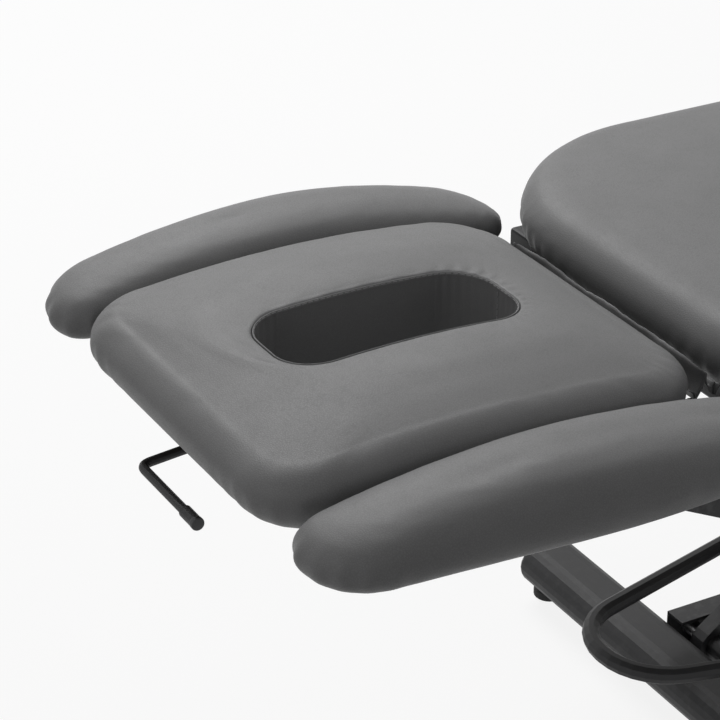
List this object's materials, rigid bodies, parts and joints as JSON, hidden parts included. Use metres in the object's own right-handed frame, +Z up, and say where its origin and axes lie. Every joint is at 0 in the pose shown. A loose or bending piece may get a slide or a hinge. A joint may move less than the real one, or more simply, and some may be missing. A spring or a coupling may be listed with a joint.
{
  "type": "electric massage table",
  "caption": "Padded massage table in three sections with a face slot, drop-down armrests, tilting ends, a scissor lift and a foot bar.",
  "frame": {"origin": "on the floor, under the middle of the table's length and width", "axes": "+X points along the table to the leg end, +Y to the left side of a person lying on the back, +Z up"},
  "size_m": [1.92, 0.694, 0.6241],
  "materials": {
    "leatherette": "dark grey leatherette, soft satin",
    "gaiter": "thin dark grey vinyl",
    "plywood": "bare birch plywood",
    "rubber": "black rubber",
    "steel": "ground steel",
    "nylon": "pale nylon",
    "plastic": "black plastic",
    "coated_steel": "black powder coat, fine texture"
  },
  "bodies": {
    "base": {"front_cross_foot": "coated_steel", "rear_cross_foot": "coated_steel", "levelling_foot_front_left": "rubber", "levelling_foot_front_right": "rubber", "levelling_foot_rear_left": "rubber", "levelling_foot_rear_right": "rubber", "base_rail_left": "coated_steel", "base_rail_right": "coated_steel", "base_pivot_shaft": "steel", "foot_bar_support": "coated_steel"},
    "outer_arms": {"outer_lift_arm": "coated_steel", "centre_pivot_shaft": "steel", "upper_glide_shaft": "steel"},
    "inner_arms": {"inner_lift_arm": "coated_steel", "lower_glide_shaft": "steel"},
    "upper_glides": {"upper_glide_left": "nylon", "upper_glide_right": "nylon"},
    "lower_glides": {"lower_glide_left": "nylon", "lower_glide_right": "nylon"},
    "actuator_body": {"actuator_housing": "plastic", "actuator_motor": "plastic"},
    "actuator_piston": {"actuator_rod": "steel"},
    "top_frame": {"top_rail_left": "coated_steel", "top_rail_right": "coated_steel", "front_cross_member": "coated_steel", "rear_cross_member": "coated_steel", "top_pivot_shaft": "steel", "head_hinge_shaft": "steel", "leg_hinge_shaft": "steel", "main_board": "plywood", "main_cushion": "leatherette", "control_box": "plastic", "mains_inlet": "plastic", "head_gaiter": "gaiter", "leg_gaiter": "gaiter"},
    "head_section": {"head_frame": "coated_steel", "head_board": "plywood", "head_cushion": "leatherette"},
    "leg_section": {"leg_frame": "coated_steel", "leg_board": "plywood", "leg_cushion": "leatherette"},
    "foot_bar": {"foot_bar_loop": "coated_steel"},
    "head_spring_cylinder": {"head_spring_tube": "plastic"},
    "head_spring_rod": {"head_spring_piston": "steel"},
    "head_lever": {"head_release_lever": "coated_steel"},
    "leg_spring_cylinder": {"leg_spring_tube": "plastic"},
    "leg_spring_rod": {"leg_spring_piston": "steel"},
    "leg_lever": {"leg_release_lever": "coated_steel"},
    "armrest_link_left": {"armrest_link_bar_left": "coated_steel"},
    "armrest_stay_left": {"armrest_stay_bar_left": "coated_steel"},
    "armrest_left": {"armrest_bracket_left": "coated_steel", "armrest_board_left": "plywood", "armrest_cushion_left": "leatherette"},
    "armrest_link_right": {"armrest_link_bar_right": "coated_steel"},
    "armrest_stay_right": {"armrest_stay_bar_right": "coated_steel"},
    "armrest_right": {"armrest_bracket_right": "coated_steel", "armrest_board_right": "plywood", "armrest_cushion_right": "leatherette"}
  },
  "joints": [
    {"name": "lift_hinge", "type": "hinge", "parent": "base", "child": "outer_arms", "pos_m": [-0.237, 0, 0.046], "axis": [0, -1, 0], "range_deg": [-12, 21]},
    {"name": "scissor_centre", "type": "hinge", "parent": "outer_arms", "child": "inner_arms", "pos_m": [0.06403, 0, 0.25993], "axis": [0, -1, 0], "range_deg": [-42, 24]},
    {"name": "upper_glide_turn", "type": "hinge", "parent": "outer_arms", "child": "upper_glides", "pos_m": [0.36505, 0, 0.47386], "axis": [0, -1, 0], "range_deg": [-21, 12]},
    {"name": "lower_glide_turn", "type": "hinge", "parent": "inner_arms", "child": "lower_glides", "pos_m": [0.36505, 0, 0.046], "axis": [0, -1, 0], "range_deg": [-12, 21]},
    {"name": "top_frame_hinge", "type": "hinge", "parent": "inner_arms", "child": "top_frame", "pos_m": [-0.237, 0, 0.47386], "axis": [0, -1, 0], "range_deg": [-12, 21]},
    {"name": "actuator_foot_hinge", "type": "hinge", "parent": "base", "child": "actuator_body", "pos_m": [0.09242, 0, 0.06557], "axis": [0, -1, 0], "range_deg": [-6, 10.5]},
    {"name": "actuator_rod_hinge", "type": "hinge", "parent": "outer_arms", "child": "actuator_piston", "pos_m": [-0.11018, 0, 0.35066], "axis": [0, -1, 0], "range_deg": [-10.5, 6]},
    {"name": "head_tilt", "type": "hinge", "parent": "top_frame", "child": "head_section", "pos_m": [-0.47, 0, 0.51946], "axis": [0, 1, 0], "range_deg": [-40, 25], "deforming": ["head_gaiter"]},
    {"name": "head_spring_anchor_hinge", "type": "hinge", "parent": "top_frame", "child": "head_spring_cylinder", "pos_m": [-0.36715, 0.1465, 0.39689], "axis": [0, 1, 0], "range_deg": [-20, 12.5]},
    {"name": "head_spring_rod_hinge", "type": "hinge", "parent": "head_section", "child": "head_spring_rod", "pos_m": [-0.62757, 0.1465, 0.49167], "axis": [0, 1, 0], "range_deg": [-12.5, 20]},
    {"name": "head_lever_lift", "type": "hinge", "parent": "head_section", "child": "head_lever", "pos_m": [-0.648, 0.069, 0.50016], "axis": [-1, 0, 0], "range_deg": [0, 12], "stiffness_Nm_per_rad": 4, "springref_deg": -8.59},
    {"name": "leg_tilt", "type": "hinge", "parent": "top_frame", "child": "leg_section", "pos_m": [0.47, 0, 0.51946], "axis": [0, -1, 0], "range_deg": [-30, 25], "deforming": ["leg_gaiter"]},
    {"name": "leg_spring_anchor_hinge", "type": "hinge", "parent": "top_frame", "child": "leg_spring_cylinder", "pos_m": [0.44222, 0.1465, 0.36189], "axis": [0, -1, 0], "range_deg": [-15, 12.5]},
    {"name": "leg_spring_rod_hinge", "type": "hinge", "parent": "leg_section", "child": "leg_spring_rod", "pos_m": [0.62757, 0.1465, 0.49167], "axis": [0, -1, 0], "range_deg": [-12.5, 15]},
    {"name": "leg_lever_lift", "type": "hinge", "parent": "leg_section", "child": "leg_lever", "pos_m": [0.648, 0.069, 0.50016], "axis": [-1, 0, 0], "range_deg": [0, 12], "stiffness_Nm_per_rad": 4, "springref_deg": -8.59},
    {"name": "armrest_drop_left", "type": "hinge", "parent": "top_frame", "child": "armrest_link_left", "pos_m": [-0.32, 0.2705, 0.44446], "axis": [0, -1, 0], "range_deg": [0, 60]},
    {"name": "armrest_stay_turn_left", "type": "hinge", "parent": "top_frame", "child": "armrest_stay_left", "pos_m": [-0.295, 0.2705, 0.40446], "axis": [0, -1, 0], "range_deg": [0, 60]},
    {"name": "armrest_level_left", "type": "hinge", "parent": "armrest_link_left", "child": "armrest_left", "pos_m": [-0.47035, 0.2705, 0.49918], "axis": [0, -1, 0], "range_deg": [-60, 0]},
    {"name": "armrest_drop_right", "type": "hinge", "parent": "top_frame", "child": "armrest_link_right", "pos_m": [-0.32, -0.2705, 0.44446], "axis": [0, -1, 0], "range_deg": [0, 60]},
    {"name": "armrest_stay_turn_right", "type": "hinge", "parent": "top_frame", "child": "armrest_stay_right", "pos_m": [-0.295, -0.2705, 0.40446], "axis": [0, -1, 0], "range_deg": [0, 60]},
    {"name": "armrest_level_right", "type": "hinge", "parent": "armrest_link_right", "child": "armrest_right", "pos_m": [-0.47035, -0.2705, 0.49918], "axis": [0, -1, 0], "range_deg": [-60, 0]},
    {"name": "foot_bar_rock", "type": "hinge", "parent": "base", "child": "foot_bar", "pos_m": [0.10108, 0, 0.148], "axis": [0, 1, 0], "range_deg": [-2.5, 2.5], "stiffness_Nm_per_rad": 60}
  ],
  "couplings": [
    {"joint": "scissor_centre", "follows": "lift_hinge", "ratio": -2},
    {"joint": "upper_glide_turn", "follows": "lift_hinge", "ratio": -1},
    {"joint": "lower_glide_turn", "follows": "lift_hinge", "ratio": 1},
    {"joint": "top_frame_hinge", "follows": "lift_hinge", "ratio": 1},
    {"joint": "actuator_foot_hinge", "follows": "lift_hinge", "ratio": 0.5},
    {"joint": "actuator_rod_hinge", "follows": "lift_hinge", "ratio": -0.5},
    {"joint": "head_spring_anchor_hinge", "follows": "head_tilt", "ratio": 0.5},
    {"joint": "head_spring_rod_hinge", "follows": "head_tilt", "ratio": -0.5},
    {"joint": "leg_spring_anchor_hinge", "follows": "leg_tilt", "ratio": 0.5},
    {"joint": "leg_spring_rod_hinge", "follows": "leg_tilt", "ratio": -0.5},
    {"joint": "armrest_stay_turn_left", "follows": "armrest_drop_left", "ratio": 1},
    {"joint": "armrest_level_left", "follows": "armrest_drop_left", "ratio": -1},
    {"joint": "armrest_stay_turn_right", "follows": "armrest_drop_right", "ratio": 1},
    {"joint": "armrest_level_right", "follows": "armrest_drop_right", "ratio": -1}
  ]
}
